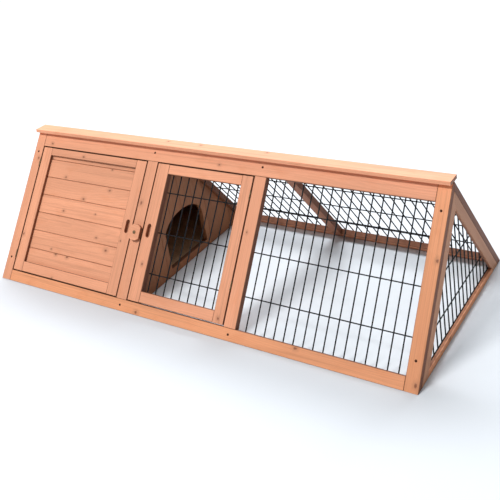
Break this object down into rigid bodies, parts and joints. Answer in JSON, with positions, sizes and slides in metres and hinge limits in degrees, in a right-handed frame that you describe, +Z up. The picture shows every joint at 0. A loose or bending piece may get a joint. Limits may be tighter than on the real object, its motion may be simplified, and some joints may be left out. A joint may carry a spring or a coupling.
{
  "type": "rabbit hutch",
  "caption": "Triangular wooden rabbit hutch: boarded house with a hinged door, arched doorway into a wire run with a hinged mesh door, turn button, ridge cap and open grass floor.",
  "frame": {"origin": "on the ground under the middle of the hutch", "axes": "+X along the ridge from the boarded house to the open end of the run, +Y from the doors to the back, +Z up"},
  "size_m": [1.18, 0.5, 0.3345],
  "materials": {
    "fir_stained": "matt salmon stain",
    "fir_orange": "matt orange stain",
    "fir_stained_shaded": "matt brown stain",
    "plywood": "raw",
    "black_wire": "semi-gloss",
    "bronzed_steel": "bronzed",
    "steel_pin": "plain"
  },
  "bodies": {
    "hutch": {"back_bottom_rail": "fir_stained_shaded", "back_house_panel": "fir_stained_shaded", "back_house_post": "fir_stained_shaded", "back_left_stile": "fir_stained_shaded", "back_right_stile": "fir_stained_shaded", "back_run_mesh": "black_wire", "back_run_post": "fir_stained_shaded", "back_top_rail": "fir_stained_shaded", "front_bottom_rail": "fir_stained", "front_door_stop": "fir_stained", "front_left_stile": "fir_stained", "front_mullion": "fir_stained", "front_post": "fir_stained", "front_right_stile": "fir_orange", "front_run_mesh": "black_wire", "front_top_rail": "fir_stained", "house_floor": "plywood", "left_end_back_leg": "fir_stained_shaded", "left_end_bottom_rail": "fir_stained_shaded", "left_end_front_leg": "fir_stained_shaded", "left_end_panel": "fir_stained_shaded", "left_floor_batten": "fir_stained_shaded", "mesh_door_lower_frame_leaf": "bronzed_steel", "mesh_door_lower_hinge_pin": "steel_pin", "mesh_door_upper_frame_leaf": "bronzed_steel", "mesh_door_upper_hinge_pin": "steel_pin", "partition": "fir_stained_shaded", "partition_front_batten": "fir_stained_shaded", "ridge_cap": "fir_stained", "right_end_back_leg": "fir_stained_shaded", "right_end_bottom_rail": "fir_stained_shaded", "right_end_front_leg": "fir_stained_shaded", "right_end_mesh": "black_wire", "right_floor_batten": "fir_stained_shaded", "solid_door_lower_frame_leaf": "bronzed_steel", "solid_door_lower_hinge_pin": "steel_pin", "solid_door_upper_frame_leaf": "bronzed_steel", "solid_door_upper_hinge_pin": "steel_pin", "turn_button_screw": "bronzed_steel"},
    "solid_door": {"solid_door_board_1": "fir_stained", "solid_door_board_2": "fir_stained", "solid_door_board_3": "fir_stained", "solid_door_board_4": "fir_stained", "solid_door_board_5": "fir_stained", "solid_door_board_6": "fir_stained", "solid_door_board_7": "fir_stained", "solid_door_bottom_rail": "fir_stained", "solid_door_hinge_stile": "fir_stained", "solid_door_latch_stile": "fir_stained", "solid_door_lower_hinge_leaf": "bronzed_steel", "solid_door_top_rail": "fir_stained", "solid_door_upper_hinge_leaf": "bronzed_steel"},
    "mesh_door": {"mesh_door_bottom_rail": "fir_stained", "mesh_door_hinge_stile": "fir_stained", "mesh_door_latch_stile": "fir_stained", "mesh_door_lower_hinge_leaf": "bronzed_steel", "mesh_door_mesh": "black_wire", "mesh_door_top_rail": "fir_stained", "mesh_door_upper_hinge_leaf": "bronzed_steel"},
    "turn_button": {"turn_button": "fir_stained"}
  },
  "joints": [
    {"name": "solid_door_hinge", "type": "hinge", "parent": "hutch", "child": "solid_door", "pos_m": [-0.5585, -0.25112, 0.00085], "axis": [0, -0.6033, -0.7975], "range_deg": [0, 165]},
    {"name": "mesh_door_hinge", "type": "hinge", "parent": "hutch", "child": "mesh_door", "pos_m": [0.1303, -0.25112, 0.00085], "axis": [0, 0.6033, 0.7975], "range_deg": [0, 165]},
    {"name": "turn_button_screw_axis", "type": "hinge", "parent": "hutch", "child": "turn_button", "pos_m": [-0.17, -0.13658, 0.15094], "axis": [0, -0.7975, 0.6033], "range_deg": [0, 180]}
  ]
}
